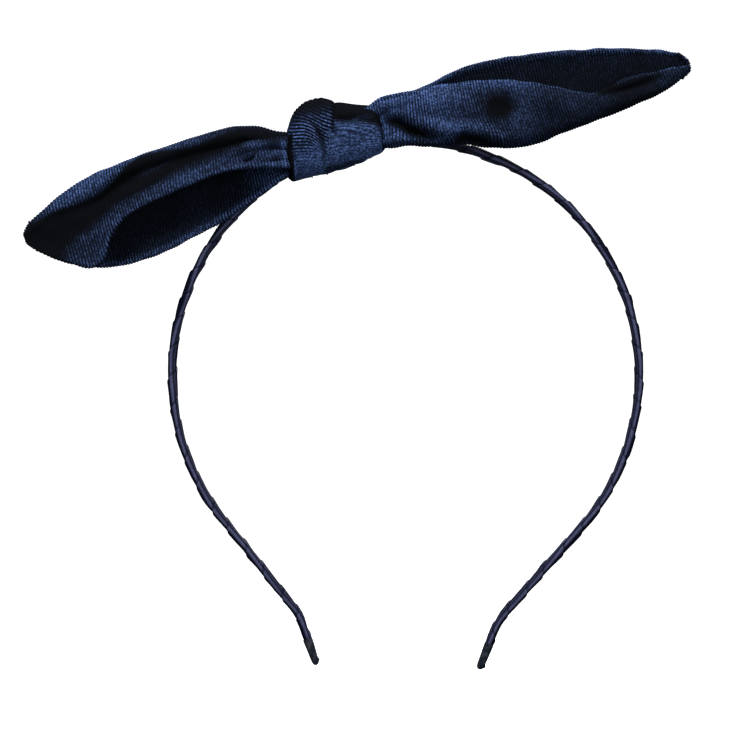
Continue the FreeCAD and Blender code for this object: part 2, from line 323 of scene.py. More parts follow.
def close_ends(piece):
    """Joins points that meet, drops flat faces and fills the open ends."""
    made = bmesh.new()
    made.from_mesh(piece.data)
    bmesh.ops.remove_doubles(made, verts=made.verts, dist=2e-6)
    bmesh.ops.dissolve_degenerate(made, edges=made.edges, dist=1e-6)
    loose = [vert for vert in made.verts if not vert.link_faces]
    bmesh.ops.delete(made, geom=loose, context="VERTS")
    open_edges = [edge for edge in made.edges if len(edge.link_faces) == 1]
    bmesh.ops.holes_fill(made, edges=open_edges, sides=0)
    bmesh.ops.recalc_face_normals(made, faces=made.faces)
    for face in made.faces:
        face.smooth = True
    made.to_mesh(piece.data)
    made.free()


SIDE_NAMES = {-1: "left", 1: "right"}


def flex_between(side, piece):
    """Bakes a band piece's transform into its mesh; the band's points either side of its side's joint are
    worked out and not used.
    """
    for angle in (FLEX_ANGLE - FLEX_SPREAD, FLEX_ANGLE + FLEX_SPREAD):
        point = band_place(BAND_RADIUS * angle)[0] * MM
        side * point[0]
    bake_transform(piece)


def spring_strip(side, material):
    """The spring steel inside one side's satin."""
    start = -side * BAND_RADIUS * KNOT_ANGLE
    place = np.linspace(start, BAND_END - 1.4, 150)
    half_thick, half_width, corner = 0.5, 2.2, 0.22
    outline = []
    for sign_out, sign_depth, first in ((1, -1, -90), (1, 1, 0), (-1, 1, 90), (-1, -1, 180)):
        for step in (0, 45, 90):
            turn = math.radians(first + step)
            outline.append((sign_out * (half_thick - corner) + corner * math.cos(turn),
                            sign_depth * (half_width - corner) + corner * math.sin(turn)))
    outline = np.array(outline)
    spots = np.repeat(place[:, None], len(outline), 1)
    grid = on_band(spots, np.broadcast_to(outline[:, 0], spots.shape), outline[:, 1])
    grid = mirrored(grid, side)
    if side > 0:
        grid = grid[:, ::-1]
    return loop_piece("spring_steel_" + SIDE_NAMES[side], grid, material)


def end_cap(side, material):
    """The soft cap on one tip: slimming from its mouth to a rounded end, with a moulding nub."""
    profile = [(0.0, 0.84), (0.0, 1.04), (0.18, 1.11), (0.8, 1.12), (2.0, 1.08), (4.0, 0.99),
               (5.4, 0.92), (6.2, 0.88),
               (6.8, 0.79), (7.1, 0.66), (7.3, 0.51), (7.42, 0.34), (7.5, 0.14)]
    rows, columns = 64, 40
    steps = np.linspace(0, len(profile) - 1, rows)
    place = np.interp(steps, np.arange(len(profile)), [p[0] for p in profile])[:, None]
    swell = np.interp(steps, np.arange(len(profile)), [p[1] for p in profile])[:, None]
    angle = np.linspace(0, 2 * math.pi, columns, endpoint=False)[None, :]
    cos, sin = np.cos(angle), np.sin(angle)
    roundness = 2 / 2.7
    out = squarish(cos, roundness)
    depth = squarish(sin, roundness)
    spots = np.stack([place + 0 * angle, 2.5 * cos + 0 * place, 2.5 * sin + 0 * place], -1)
    dents = 0.035 * ripple(spots, 2.2, 5 + side)
    nub = 0.30 * np.exp(-(((place - 6.3) / 0.5) ** 2)) * ease(0.3, 1.0, side * cos)
    shrink = swell * (1 + dents) + nub
    start = BAND_END - CAP_LENGTH
    across, deep = shrink * out * CAP_THICK / 2, np.minimum(shrink, 1.0) * depth * CAP_WIDTH / 2
    grid = on_band(start + place + 0 * angle, across, deep)
    grid = mirrored(grid, side)
    if side > 0:
        grid = grid[:, ::-1]
    return loop_piece("end_cap_" + SIDE_NAMES[side], grid, material)


# ---- Velvet ----------------------------------------------------------------------------
def tail_axes(side):
    """Start, outward and upward directions of a tail's own axis."""
    neck, rise = TAIL_NECKS[side]
    rise = math.radians(rise)
    out = np.array([side * math.cos(rise), 0, math.sin(rise)])
    up = np.array([-side * math.sin(rise), 0, math.cos(rise)])
    return np.array([neck[0], 0, neck[1]]), out, up


TAIL_NECKS = {-1: ((-33.8, -3.4), -19.85), 1: ((-8.1, 4.3), 12.4)}

# Outlines of the folded tails: (distance from the knot, height above the tail's axis).
# fold is the folded long edge, back the free edge of the back layer and front that of the front one.
# section gives the front layer's depth at shares of the way from the fold to its free edge.
TAILS = {
    1: {
        "length": 84.0,
        "fold": [(-6, -4.4), (0, -5.9), (6, -6.6), (13, -7.8), (20, -8.8), (25, -10.3), (30, -12.0),
                 (35, -12.6),
                 (40, -12.5), (46, -11.2), (55, -9.6), (67, -7.2), (77, -4.9), (81, -3.2), (84, -0.9)],
        "back": [(-6, 4.4), (0, 6.9), (8, 7.5), (14, 8.8), (20, 10.6), (27, 11.9), (35, 12.1), (45, 11.6),
                 (55, 10.5), (65, 9.0), (73, 7.3), (79, 5.6), (82.5, 3.8), (84, 1.8)],
        "front": [(-6, 4.0), (0, 6.9), (11, 7.3), (20, 7.1), (31, 6.0), (37, 4.7), (42, 2.9), (48, 0.6),
                  (52, -1.1),
                  (56, -2.5), (60, -2.0), (65, -0.6), (70, 0.0), (78, 0.3), (84, 0.5)],
        "belly": [(-6, -6.0), (-1, -6.6), (2, -8.8), (6, -10.6), (14, -11.8), (25, -12.9), (40, -12.9),
                  (56, -11.6),
                  (70, -10.4), (80, -9.0), (84, -8.0)],
        "spine": [(-6, -4.2), (-1, -3.6), (3, -3.5), (15, -3.7), (40, -3.7), (65, -4.3), (78, -5.6),
                  (84, -6.8)],
        "section": ((0.10, 0.70), (0.30, 0.95), (0.60, 1.04), (0.86, 0.98), (1.0, 0.84)),
    },
    -1: {
        "length": 73.4,
        "fold": [(-6, 4.2), (-1, 5.6), (4, 8.4), (9, 10.5), (14, 11.3), (22, 11.6), (31, 11.5), (43, 11.1),
                 (51, 10.5), (57, 9.4), (63, 7.3), (68, 5.4), (71, 4.1), (73.4, 1.6)],
        "back": [(-6, -4.2), (0, -5.4), (3, -6.3), (10, -8.7), (18, -11.2), (30, -13.8), (40, -15.2),
                 (46, -15.4),
                 (52, -14.9), (57, -13.5), (63, -10.8), (68, -7.3), (71.5, -4.2), (73.4, -1.8)],
        "front": [(-6, -3.4), (0, -4.0), (4, -2.9), (9, -1.4), (14, -0.4), (24, -0.1), (33, -1.0), (43, -2.4),
                  (48, -4.2), (51.5, -7.4), (54.5, -11.4), (57.5, -13.0), (63, -10.6), (68, -7.1),
                  (71.5, -4.0),
                  (73.4, -1.6)],
        "belly": [(-6, -6.0), (-1, -6.6), (2, -8.8), (6, -10.8), (12, -12.2), (25, -12.8), (40, -12.8),
                  (56, -12.0),
                  (68, -10.2), (73.4, -8.4)],
        "spine": [(-6, -4.2), (-1, -3.6), (3, -3.5), (15, -3.7), (40, -3.7), (60, -4.3), (70, -5.8),
                  (73.4, -6.6)],
        "section": ((0.08, 0.62), (0.20, 0.86), (0.44, 0.66), (0.70, 0.78), (1.0, 1.14)),
    },
}

# Hollows (positive) and ridges (negative) pressed into the front layer. Each has a path of
# (distance, height) points, its half width and its depth.
FRONT_FOLDS = {
    1: [
        {"path": [(1, 1.3), (4.5, 0.1), (8, -3.6), (12.8, -6.0)], "half": 1.9, "depth": 3.0},
        {"path": [(2, -3.6), (6, -5.4), (10, -6.6)], "half": 1.2, "depth": -1.4},
        {"path": [(13, -3.0), (17, -4.8), (21, -4.6), (26, -6.6), (30, -9.6)], "half": 1.5, "depth": -1.6},
        {"path": [(19, -7.4), (25, -9.0), (30, -11.6)], "half": 1.1, "depth": 3.4},
        {"path": [(29, -0.2), (32.3, -1.1), (35, -1.8)], "half": 3.2, "depth": 1.1},
        {"path": [(16, 4.5), (22, 1.5), (27, -3.0)], "half": 2.4, "depth": -0.6},
        {"path": [(40, 0.5), (46, -3.0), (50, -6.0)], "half": 2.4, "depth": -0.6},
        {"path": [(60, -3.4), (67, -2.6), (75, -1.6)], "half": 1.3, "depth": 1.6},
    ],
    -1: [
        {"path": [(66, 2.4), (60, 2.8), (52, 3.2), (44, 6.0), (37, 7.8), (24, 7.4),
                  (10, 6.2)], "half": 2.0, "depth": 1.8},
        {"path": [(46, 3.0), (38, 3.6), (30, 5.4)], "half": 1.2, "depth": -0.7},
        {"path": [(8.5, 0.9), (11.5, 0.3)], "half": 0.8, "depth": 2.0},
        {"path": [(2, 3.2), (8, 4.4), (15, 4.0)], "half": 1.1, "depth": -1.4},
        {"path": [(2, -0.4), (7, 0.0), (12, -0.6)], "half": 0.8, "depth": -0.9},
    ],
}

# Painted light and shade on the front layers: zones and strokes over the base, for where the nap catches the
# light and where it lies in shade.
PAINTED_NAP_LIGHT = {
    1: {
        # Right tail: how much painted light the front layer takes along its length.
        "along": [(0, 0.98), (6, 1.12), (13, 1.04), (20, 0.74), (30, 0.62), (38, 0.50), (44, 0.36),
                  (56, 0.28),
                  (64, 0.16), (72, 0.18), (79, 0.34), (84, 0.25)],
        # Strokes: a light above 0 adds painted light along the path, one below 0 paints shade over it.
        "strokes": [
            {"path": [(0.8, 1.2), (4.5, -0.3), (8, -3.2), (12.8, -6.3)], "half": 2.1, "light": -1.0},
            {"path": [(0.4, 6.0), (0.9, 0.0), (1.0, -5.0)], "half": 0.7, "light": 0.35},
            {"path": [(13, -6.4), (16, -6.0), (19.6, -4.9), (25.2, -6.8),
                      (28.6, -9.4)], "half": 0.6, "light": 0.45},
            {"path": [(18, -7.6), (21, -7.0), (25.6, -8.8), (29.0, -11.4)], "half": 1.35, "light": -1.0},
            {"path": [(27.8, -0.4), (31.0, -1.2), (35.4, -1.8)], "half": 3.9, "light": -1.0},
            {"path": [(33, -7.0), (38, -3.0), (37, 2.0)], "half": 1.6, "light": 0.16},
            {"path": [(24, 5.6), (34, 4.4), (42, 1.6)], "half": 1.0, "light": 0.22},
            {"path": [(66, 0.0), (74, 1.0), (81, 0.6)], "half": 0.5, "light": 0.5},
            {"path": [(58, -2.6), (61, -2.2), (63, -1.2)], "half": 1.0, "light": -0.9},
            {"path": [(62, -3.0), (68, -2.4), (74, -1.6)], "half": 1.2, "light": -0.9},
            {"path": [(12, 1.5), (18, -1.0), (23, -3.4)], "half": 1.4, "light": -0.3},
        ],
    },
    -1: {
        # Left tail: painted light on the top rim above rim_line and on the ridge below ridge_line, at the
        # strengths listed.
        "rim_line": [(-6, 3.0), (0, 4.4), (5, 7.2), (10, 8.9), (23, 9.3), (31, 10.1), (37, 10.5),
                     (41, 9.6), (44, 8.4),
                     (48, 6.6), (52.7, 5.2), (64, 4.3), (73, 2.2)],
        "rim": [(0, 0.08), (10, 0.14), (17, 0.40), (30, 0.66), (42, 0.82), (58, 0.82), (66, 0.55),
                (71, 0.15)],
        "ridge_line": [(-6, 4.0), (3, 4.6), (10, 5.0), (18.5, 5.3), (27, 4.8), (36, 3.5), (42, 2.2),
                       (48.4, 0.7),
                       (53.7, -1.5), (61.4, -4.1), (67, -7.0)],
        "ridge": [(0, 0.56), (6, 0.50), (12, 0.46), (20, 0.41), (36, 0.41), (48, 0.43), (56, 0.46),
                  (62, 0.40),
                  (65.5, 0.12), (73, 0.04)],
        "strokes": [
            {"path": [(5.0, 3.8), (9.5, 4.6)], "half": 1.0, "light": 0.7},
            {"path": [(0.3, 3.0), (1.0, -0.5), (2.1, -5.0)], "half": 0.7, "light": 0.5},
            {"path": [(8.5, 0.9), (11.5, 0.3)], "half": 0.7, "light": -0.9},
            {"path": [(11, 3.6), (22, 2.4), (34, 0.6), (44, -1.6)], "half": 1.0, "light": 0.16},
            {"path": [(28, 8.6), (34, 6.2), (40, 5.6)], "half": 0.8, "light": 0.20},
            {"path": [(47, -2.8), (52, -4.2), (58, -5.4)], "half": 0.6, "light": 0.22},
        ],
    },
}


def press(path, half, depth, out, up):
    """How far a fold moves each point, from its distance to the fold's path."""
    path = np.array(path, float)
    nearest = np.full(out.shape, 1e9)
    reach = np.zeros(out.shape)
    lengths = np.linalg.norm(np.diff(path, axis=0), axis=1)
    total = lengths.sum()
    done = 0.0
    for i in range(len(path) - 1):
        step = path[i + 1] - path[i]
        t = np.clip(((out - path[i, 0]) * step[0] + (up - path[i, 1]) * step[1]) / (step @ step), 0, 1)
        gap = np.hypot(out - path[i, 0] - t * step[0], up - path[i, 1] - t * step[1])
        reach = np.where(gap < nearest, (done + t * lengths[i]) / total, reach)
        nearest = np.minimum(nearest, gap)
        done += lengths[i]
    fade = 0.35 + 0.65 * np.sin(math.pi * np.clip(reach, 0.02, 0.98)) ** 0.6
    return depth * fade * np.exp(-((nearest / half) ** 2))


def tail_sheet(side, rows, columns):
    """The middle surface of a folded tail: rows from the knot to the tip, columns over the fold."""
    shape = TAILS[side]
    length = shape["length"]
    out = np.linspace(-6, length, rows)
    fold = follow(shape["fold"], out)
    back = follow(shape["back"], out)
    front = follow(shape["front"], out)
    belly = follow(shape["belly"], out)
    spine = follow(shape["spine"], out)
    middle = (belly + spine) / 2
    lift = np.sign(fold - back)
    inset = 0.62
    fold = fold - lift * inset
    back = back + lift * inset
    front = front + lift * inset * 0.4
    span_back = fold - back
    span_front = front - fold
    depth_front = belly - middle
    depth_back = spine - middle
    controls = [
        (back, middle + depth_back * 0.55),
        (back + span_back * 0.10, middle + depth_back * 0.85),
        (back + span_back * 0.36, middle + depth_back * 1.05),
        (back + span_back * 0.66, middle + depth_back * 1.0),
        (back + span_back * 0.90, middle + depth_back * 0.75),
        (fold, middle),
    ]
    for share, bulge in shape["section"]:
        controls.append((fold + span_front * share, middle + depth_front * bulge))
    stacked = [np.stack(pair, -1) for pair in controls]
    across = np.linspace(0, 1, columns)
    section = through(stacked, across)
    up = section[..., 0].T
    depth = section[..., 1].T
    along = np.repeat(out[:, None], columns, 1)
    over = ease(0.5, 0.62, across)[None, :]
    for fold_line in FRONT_FOLDS[side]:
        depth = depth + over * press(fold_line["path"], fold_line["half"], fold_line["depth"], along, up)
    near = np.exp(-np.clip(along - 1, 0, None) / 8.0) * ease(-3, 2, along)
    turn = across[None, :] * 2 * math.pi
    pleats = 0.36 * np.sin(turn * 6.3 + 0.15 * along) + 0.26 * np.sin(turn * 9.7 - 0.2 * along + 1.0)
    depth = depth + near * pleats * over
    start, outward, upward = tail_axes(side)
    flat = start + along[..., None] * outward + up[..., None] * upward
    flat[..., 1] = depth
    return flat, along, up


def rim(edge, normal, inward, half):
    """The soft edge of both layers: half a turn from one face to the other."""
    turns = np.radians([30, 60, 90, 120, 150])
    return np.stack([edge + half * (normal * math.cos(t) + inward * math.sin(t)) for t in turns], 1)


def round_both_faces(values, last, first):
    """One loop's worth of values: outer face, far edge, inner face and near edge."""
    return np.concatenate([values, last, values[:, ::-1], first], 1)


def tail_faces(side, rows, columns, thick):
    """The sheet, its outward directions and half its thickness, row by row."""
    sheet, along, up = tail_sheet(side, rows, columns)
    around = unit(np.gradient(sheet, axis=1))
    normal = -unit(np.cross(around, np.gradient(sheet, axis=0)))
    length = TAILS[side]["length"]
    half = thick / 2 * (1 - 0.55 * ease(length - 14, length, along[:, :1]))
    return sheet, along, up, around, normal, half


def velvet_tail(side, material, sizes):
    """A velvet tail, both layers and their soft edges, with its cords standing up from the ground."""
    pitch = sizes.cord_pitch / MM
    length = TAILS[side]["length"]
    rows = int((length + 6) / pitch * 5.5)
    columns = 64
    sheet, along, up, around, normal, half = tail_faces(side, rows, columns, sizes.velvet_thick / MM)
    half = half[..., None]
    far_edge = rim(sheet[:, -1], normal[:, -1], around[:, -1], half[:, 0])
    near_edge = rim(sheet[:, 0], -normal[:, 0], -around[:, 0], half[:, 0])
    outer, inner = sheet + normal * half, sheet - normal * half
    loops = np.concatenate([outer, far_edge, inner[:, ::-1], near_edge], 1)[:, ::-1]

    def spread(values):
        return round_both_faces(values, values[:, -1:].repeat(5, 1), values[:, :1].repeat(5, 1))[:, ::-1]

    reach, height = spread(along), spread(up)
    across = spread(np.broadcast_to(np.linspace(0, 1, columns), along.shape))
    inside = np.concatenate([np.zeros(columns), np.linspace(0, 1, 5), np.ones(columns), np.linspace(1, 0, 5)])
    inside = np.broadcast_to(inside[::-1], reach.shape)
    face_out = loop_normals(loops)
    lean = reach + 0.10 * height + 0.5 * ripple(loops, 14, 31 + side)
    cords = cord_profile(lean, pitch)
    crush = ripple(loops, 3.2, 41 + side)
    # tone is painted light and shade, kept as the pile mark; crisp sets how strong the painted shade in the
    # cords' grooves is.
    tone, crisp = painted_pile_light_and_shade(side, face_out, reach, height, across, inside)
    loops = loops + face_out * (sizes.cord_depth / MM * (cords - 0.5) + 0.10 * crush)[..., None]
    marks = {"cord": cords, "pile": tone, "crisp": crisp}
    return loop_piece("velvet_tail_" + SIDE_NAMES[side], loops, material, marks)


def front_painted_light(side, reach, height):
    """Painted light and shade on the front layer's pile: light on its rims, ridges and streaks, and shade in
    its hollows.
    """
    nap = PAINTED_NAP_LIGHT[side]
    if side > 0:
        light = follow(nap["along"], reach)
    else:
        rim_light = ease(-0.6, 0.4, height - follow(nap["rim_line"], reach)) * follow(nap["rim"], reach)
        ridge_light = ease(0.8, -2.6, height - follow(nap["ridge_line"], reach)) * follow(nap["ridge"], reach)
        light = np.maximum(rim_light, ridge_light)
    for stroke in nap["strokes"]:
        mark = press(stroke["path"], stroke["half"], 1.0, reach, height)
        if stroke["light"] > 0:
            light = light + stroke["light"] * mark
        else:
            light = light * (1 + stroke["light"] * np.clip(mark * 1.3, 0, 1))
    return light


def painted_pile_light_and_shade(side, face_out, reach, height, across, inside):
    """Painted light and shade on the pile, and how crisply its cords show."""
    _, _, upward = tail_axes(side)
    facing = face_out @ upward
    front = ease(0.5, 0.56, across) * ease(0.35, -0.25, face_out[..., 1] - 0.2)
    # Painted light: the front layer's outer face is lighter where it turns up, and the other outer faces are
    # painted from dark to light as they turn up.
    lit_from_above = 0.62 + 0.38 * ease(-0.9, 0.4, facing)
    back_side_painted_light = 0.14 + 0.50 * ease(-0.5, 0.6, facing)
    outer = front * front_painted_light(side, reach, height) * lit_from_above + (1 - front) * back_side_painted_light
    # Painted highlights along the back layer's edge and the front layer's free edge.
    back_edge_highlight = np.exp(-((across / 0.045) ** 2))
    free_edge_highlight = np.exp(-(((1 - across) / 0.018) ** 2))
    outer = outer + 0.25 * back_edge_highlight + 0.20 * free_edge_highlight * ease(0.0, 0.3, outer)
    # Painted shade over the lining inside the fold, with painted light near its edge and, on the left tail,
    # near the knot.
    neck = 0.55 * ease(15, 7, reach) if side < 0 else 0.0
    lining_light_and_shade = 0.08 + 0.16 * np.exp(-((across / 0.2) ** 2)) + 0.42 * back_edge_highlight + neck
    tone = np.clip(outer * (1 - inside) + inside * lining_light_and_shade, 0.0, 1)
    wear_and_painted_sheen = ripple(np.stack([reach, height, 0 * reach], -1), 7.0, 51 + side)
    crisp = np.clip(0.95 - 0.10 * tone * (1 - inside) - 0.12 * wear_and_painted_sheen, 0.5, 1)
    return tone, crisp


def thread_run(points, radius, sides=8):
    """Points of one closed length of thread, ring by ring, thinning at both ends where it is pulled into the
    cloth.
    """
    points = np.asarray(points)
    heading = unit(np.gradient(points, axis=0))
    across = unit(np.cross(heading, [0.3, 0.2, 1.0]))
    above = np.cross(heading, across)
    turn = np.linspace(0, 2 * math.pi, sides, endpoint=False)
    thin = np.sin(np.linspace(0.12, math.pi - 0.12, len(points))) ** 0.4 * radius
    ring = np.cos(turn)[None, :, None] * across[:, None] + np.sin(turn)[None, :, None] * above[:, None]
    return points[:, None] + ring * thin[:, None, None]


def thread_piece(name, runs, material, pile=None):
    """One piece made of many separate closed lengths of thread."""
    points, faces = [], []
    for grid in runs:
        first = len(points)
        caps = np.stack([grid[0].mean(axis=0), grid[-1].mean(axis=0)])
        points += list(grid.reshape(-1, 3)) + list(caps)
        faces += [tuple(first + k for k in face) for face in loop_faces(*grid.shape[:2])]
    marks = None
    if pile is not None:
        count = len(points)
        marks = {"cord": np.full(count, 0.7), "pile": np.full(count, pile), "crisp": np.full(count, 0.3)}
    return make_piece(name, points, faces, material, marks)


def seam_stitches(side, material, sizes):
    """The row of stitches that closes a tail's seam, on its back layer near the fold."""
    length, pitch, radius = 2.3, 3.2, 0.16
    rows, columns = 400, 58
    sheet, along, _, _, normal, half = tail_faces(side, rows, columns, sizes.velvet_thick / MM)
    column = int(columns * 0.40)
    track = sheet[:, column] + normal[:, column] * (half + 0.05)
    reach = along[:, column]
    runs = []
    for i in range(int((TAILS[side]["length"] - 12) / pitch)):
        start = 4 + i * pitch
        at = np.linspace(start, start + length, 7)
        run = np.stack([np.interp(at, reach, track[:, axis]) for axis in range(3)], -1)
        lift = np.interp(at.mean(), reach, np.arange(rows)).astype(int)
        arch = np.sin(np.linspace(0, math.pi, 7))[:, None] * 0.14 - 0.10
        runs.append(thread_run(run + normal[lift, column] * arch, radius))
    return thread_piece("seam_stitches_" + SIDE_NAMES[side], runs, material)


def frayed_tip(side, material, seed):
    """Short loose pile and threads along a tail's cut end."""
    rng = np.random.default_rng(seed)
    shape = TAILS[side]
    start, outward, upward = tail_axes(side)
    length = shape["length"]
    edge = np.linspace(length - 2.6, length - 0.1, 9)
    across = np.linspace(0, 1, 12)[1:-1, None]
    ends = np.array([[length, float(follow(shape[name], length))] for name in ("fold", "back")])
    outline = np.concatenate([
        np.stack([edge, follow(shape["fold"], edge)], -1),
        ends[0] + (ends[1] - ends[0]) * across,
        np.stack([edge, follow(shape["back"], edge)], -1)[::-1],
    ])
    ahead = np.gradient(outline, axis=0)
    facing = np.stack([np.abs(ahead[:, 1]), -ahead[:, 0] * np.sign(ahead[:, 1] + 1e-6)], -1)
    facing = facing / np.linalg.norm(facing, axis=1, keepdims=True)
    runs = []
    for _ in range(300):
        at = rng.uniform(0, len(outline) - 1)
        spot = [float(np.interp(at, np.arange(len(outline)), outline[:, axis])) for axis in (0, 1)]
        away = [float(np.interp(at, np.arange(len(outline)), facing[:, axis])) for axis in (0, 1)]
        belly, spine = float(follow(shape["belly"], spot[0])), float(follow(shape["spine"], spot[0]))
        base = start + (spot[0] - 0.35) * outward + spot[1] * 0.88 * upward
        base[1] = belly + (spine - belly) * rng.uniform(0.2, 0.8)
        heading = (away[0] + 0.3) * outward + (away[1] + rng.normal() * 0.35) * upward
        heading[1] += rng.normal() * 0.45
        heading = heading / np.linalg.norm(heading)
        reach = rng.uniform(0.30, 0.80)
        steps = np.linspace(-0.5, 1.0, 5)[:, None]
        curl = upward * rng.normal() * 0.12
        track = base + heading * reach * steps + curl * steps**2
        runs.append(thread_run(track, rng.uniform(0.07, 0.11), 5))
    return thread_piece("frayed_tip_" + SIDE_NAMES[side], runs, material, pile=0.25)


# ---- Knot ------------------------------------------------------------------------------
def knot_axes():
    height = BAND_RADIUS * math.cos(KNOT_ANGLE) - INNER_RADIUS
    centre = np.array([-BAND_RADIUS * math.sin(KNOT_ANGLE), 0, height])
    along = np.array([math.cos(KNOT_ANGLE), 0, math.sin(KNOT_ANGLE)])
    up = np.array([-math.sin(KNOT_ANGLE), 0, math.cos(KNOT_ANGLE)])
    return centre, along, up


# A turn of the strip round the band: (place along the band, value) for its lowest and highest
# points and its half depth. Its ends lean with the height, by lean for each millimetre up.
# Creases are pressed into the side that faces the front.
WRAP = {
    "low": [(-12.5, -3.2), (-8, -4.4), (-2, -4.7), (5, -4.7), (10, -4.4), (12.4, -3.9), (13.5, -3.0)],
    "high": [(-12.5, 6.0), (-8, 9.0), (-3, 11.6), (1.6, 12.6), (6, 11.1), (10, 9.5), (12.4, 8.4),
             (13.5, 7.6)],
    "deep": [(-12.5, 6.5), (-8, 8.2), (0, 9.0), (8, 9.1), (12.4, 8.9), (13.5, 8.2)],
    "ends": (-12.5, 13.5),
    "lean": 0.13,
    "fold": 0.9,
    "upper_power": 2.3,
    "lower_power": 3.2,
    "creases": [
        {"path": [(3.8, 12.6), (1.8, 11.0), (0.2, 9.2), (0.0, 6.0), (0.4, 3.4)], "half": 0.9, "depth": 1.3},
        {"path": [(3.0, 9.6), (7.5, 8.6), (12.0, 7.6)], "half": 1.4, "depth": -0.5},
        {"path": [(1.5, 7.4), (6.0, 6.2), (12.0, 4.4)], "half": 1.1, "depth": 0.7},
        {"path": [(2.5, 4.4), (7.0, 3.4), (12.0, 1.8)], "half": 1.1, "depth": -0.5},
        {"path": [(-1.0, 0.6), (5.0, -0.6), (11.0, -1.0)], "half": 1.0, "depth": 0.4},
    ],
}
LOBE = {
    "low": [(-13.0, -2.9), (-12.2, -3.8), (-10, -4.3), (-6, -4.7), (-1, -4.5), (0.8, -3.4)],
    "high": [(-13.0, 6.5), (-12.4, 9.4), (-11.4, 11.8), (-8.8, 14.6), (-5.0, 15.2), (-2.0, 14.6),
             (0.8, 13.0)],
    "deep": [(-13.0, 7.0), (-12, 8.6), (-9, 10.0), (-4, 10.4), (-1, 9.8), (0.8, 9.0)],
    "ends": (-13.0, 0.8),
    "lean": 0.26,
    "fold": 1.3,
    "upper_power": 2.2,
    "lower_power": 2.7,
    "creases": [
        {"path": [(-8.0, 9.8), (-5.4, 7.6), (-4.3, 4.6), (-4.6, 0.5),
                  (-5.5, -3.4)], "half": 0.8, "depth": -0.4},
        {"path": [(-5.2, 9.6), (-3.9, 7.0), (-3.2, 4.0), (-3.6, 0.0),
                  (-4.6, -3.4)], "half": 0.9, "depth": 0.5},
        {"path": [(-1.6, 12.0), (-2.4, 9.6), (-2.4, 6.4), (-1.2, 3.4)], "half": 0.9, "depth": -0.7},
        {"path": [(0.4, 9.0), (-0.4, 6.0), (0.0, 2.4), (-0.4, -1.6)], "half": 1.6, "depth": 1.6},
        {"path": [(-11.0, 6.0), (-11.7, 1.0), (-12.1, -3.4)], "half": 0.6, "depth": 0.8},
    ],
}


# Where the four tack stitches lie along the knot, from its middle.
TACK_PLACES = (-8.6, -4.4, 3.2, 8.2)


def lobe_look(place, up_at, along_at, _arc_at, facing):
    """Cord phase, painted light and shade, and crispness of the rounded turn at the knot's left."""
    flat = math.sin(KNOT_ANGLE) * along_at + math.cos(KNOT_ANGLE) * up_at
    straight = flat + 1.3 * ease(-10.6, -13.4, along_at) + 0.8 * ease(-8.0, -3.8, along_at)
    steep = math.radians(40)
    slanting = up_at * math.cos(steep) + along_at * math.sin(steep) + 4.6
    turning = facing * ease(-6.6, -2.4, along_at)
    phase = straight + turning * (slanting - straight)
    # Painted light and shade: dark over the top of the turn, lit lower down.
    light = follow([(-5, 0.78), (0, 0.78), (3, 0.86), (9.0, 0.90), (11.0, 0.42), (12.6, 0.12),
                    (16, 0.05)], up_at)
    # Painted shadow down the strip at the turn's left, a painted highlight on its left rim, painted shade in
    # a crease, painted light on a ridge and painted shade high in the middle.
    strip = ease(-10.9, -11.2, place) * ease(7.9, 6.9, up_at)
    edge = 0.65 * ease(-12.2, -12.8, place) * ease(6.6, 7.6, up_at) * ease(11.5, 9.0, up_at)
    valley_shade = press([(-5.0, 10.5), (-3.8, 7.0), (-3.0, 4.0), (-3.5, 0.0),
                    (-4.4, -2.4)], 0.6, 1.0, along_at, up_at)
    ridge = press([(-5.6, 7.8), (-4.6, 4.6), (-4.8, 0.5), (-5.6, -3.0)], 0.35, 1.0, along_at, up_at)
    middle = ease(-4.2, -3.0, along_at) * ease(0.5, -1.2, place)
    light = light * (1 - 0.97 * strip) * (1 - 0.75 * valley_shade) * (1 - 0.35 * middle * ease(8.5, 11.0, up_at))
    light = light + edge + 0.35 * ridge * ease(10.0, 8.0, up_at)
    # Painted shade high up at the turn's right.
    light = light * (1 - 0.85 * ease(-0.9, 0.2, place) * ease(3.0, 6.5, up_at))
    crisp = follow([(-5, 0.12), (0.0, 0.20), (2.6, 1.0), (12, 1.0), (16, 0.7)], up_at)
    return phase, light, crisp


def wrap_look(place, up_at, along_at, arc_at, _facing):
    """Cord phase, painted light and shade, and crispness of the turn at the knot's right."""
    phase = arc_at + 0.20 * along_at
    # Painted shade above the border, painted light below it, and a painted lit streak.
    border = follow([(-6, 9.5), (1.5, 8.0), (4.3, 6.8), (7.6, 5.8), (12.3, 2.9), (14, 1.5)], along_at)
    light = 0.005 + 0.80 * ease(0.7, -1.8, up_at - border)
    light = light * follow([(-5, 0.92), (-1, 0.94), (2, 1.0), (6, 1.0)], up_at)
    light = light + 0.22 * press([(6.0, 6.4), (9.0, 6.2), (11.5, 5.6)], 0.8, 1.0, along_at, up_at)
    # Painted shade at the turned-in end and in one crease.
    light = light * (1 - 0.85 * ease(12.7, 13.2, place))
    light = light * (1 - 0.8 * press([(0.2, 8.0), (0.1, 6.0), (0.5, 4.4)], 0.7, 1.0, along_at, up_at))
    crisp = follow([(-5, 0.10), (0, 0.30), (3, 0.60), (8, 0.6)], up_at)
    return phase, light, crisp


